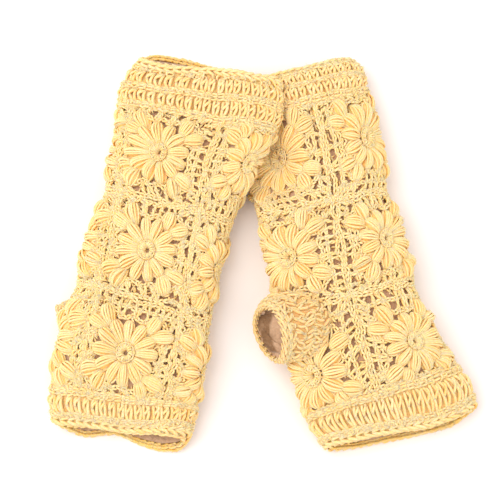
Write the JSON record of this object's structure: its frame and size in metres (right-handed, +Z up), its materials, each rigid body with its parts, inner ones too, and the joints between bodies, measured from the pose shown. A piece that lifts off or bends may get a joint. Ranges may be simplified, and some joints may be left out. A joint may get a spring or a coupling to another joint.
{
  "type": "pair of fingerless gloves",
  "caption": "Pair of crocheted fingerless gloves in flower squares with ribbed cuffs, short thumb sleeves and a fleece lining, lying flat.",
  "frame": {"origin": "centre of the pair's bounding box on the surface the gloves rest on", "axes": "+Z up, +Y towards the wrist ends, +X from the left-hand glove towards the right-hand glove"},
  "size_m": [0.2419, 0.24, 0.038],
  "materials": {
    "flower_wool": "soft cream-yellow wool yarn in puffed stitches",
    "cuff_wool": "cream-yellow wool yarn in tall ribbed stitches",
    "sleeve_wool": "slightly duller cream-yellow wool in dense short stitches",
    "fleece": "matte taupe-brown brushed fleece"
  },
  "bodies": {
    "right_glove": {"right_square_palm_right_1": "flower_wool", "right_square_back_right_1": "flower_wool", "right_square_back_left_1": "flower_wool", "right_square_palm_left_1": "flower_wool", "right_square_palm_right_2": "flower_wool", "right_square_back_right_2": "flower_wool", "right_square_back_left_2": "flower_wool", "right_square_palm_left_2": "flower_wool", "right_square_palm_right_3": "flower_wool", "right_square_back_right_3": "flower_wool", "right_square_back_left_3": "flower_wool", "right_square_palm_left_3": "flower_wool", "right_wrist_cuff": "cuff_wool", "right_finger_cuff": "cuff_wool", "right_hand_lining": "fleece"},
    "left_glove": {"left_square_back_middle_1": "flower_wool", "left_square_thumbless_side_1": "flower_wool", "left_square_palm_middle_1": "flower_wool", "left_square_thumb_side_1": "flower_wool", "left_square_back_middle_2": "flower_wool", "left_square_thumbless_side_2": "flower_wool", "left_square_palm_middle_2": "flower_wool", "left_square_thumb_side_2": "flower_wool", "left_square_back_middle_3": "flower_wool", "left_square_thumbless_side_3": "flower_wool", "left_square_palm_middle_3": "flower_wool", "left_square_thumb_side_3": "flower_wool", "left_wrist_cuff": "cuff_wool", "left_finger_cuff": "cuff_wool", "left_hand_lining": "fleece"},
    "right_thumb": {"right_thumb_sleeve": "sleeve_wool", "right_thumb_lining": "fleece"},
    "left_thumb": {"left_thumb_sleeve": "sleeve_wool", "left_thumb_lining": "fleece"}
  },
  "joints": [
    {"name": "left_glove_lift", "type": "slide", "parent": "right_glove", "child": "left_glove", "axis": [0, 0, 1], "range_m": [0, 0.12]},
    {"name": "right_thumb_bend", "type": "hinge", "parent": "right_glove", "child": "right_thumb", "pos_m": [0.03885, -0.04219, 0.031], "axis": [-0.2768, 0.9609, 0], "range_deg": [0, 40]},
    {"name": "left_thumb_bend", "type": "hinge", "parent": "left_glove", "child": "left_thumb", "pos_m": [-0.0841, -0.03275, 0.0035], "axis": [-0.2473, -0.9689, 0], "range_deg": [0, 30]}
  ]
}
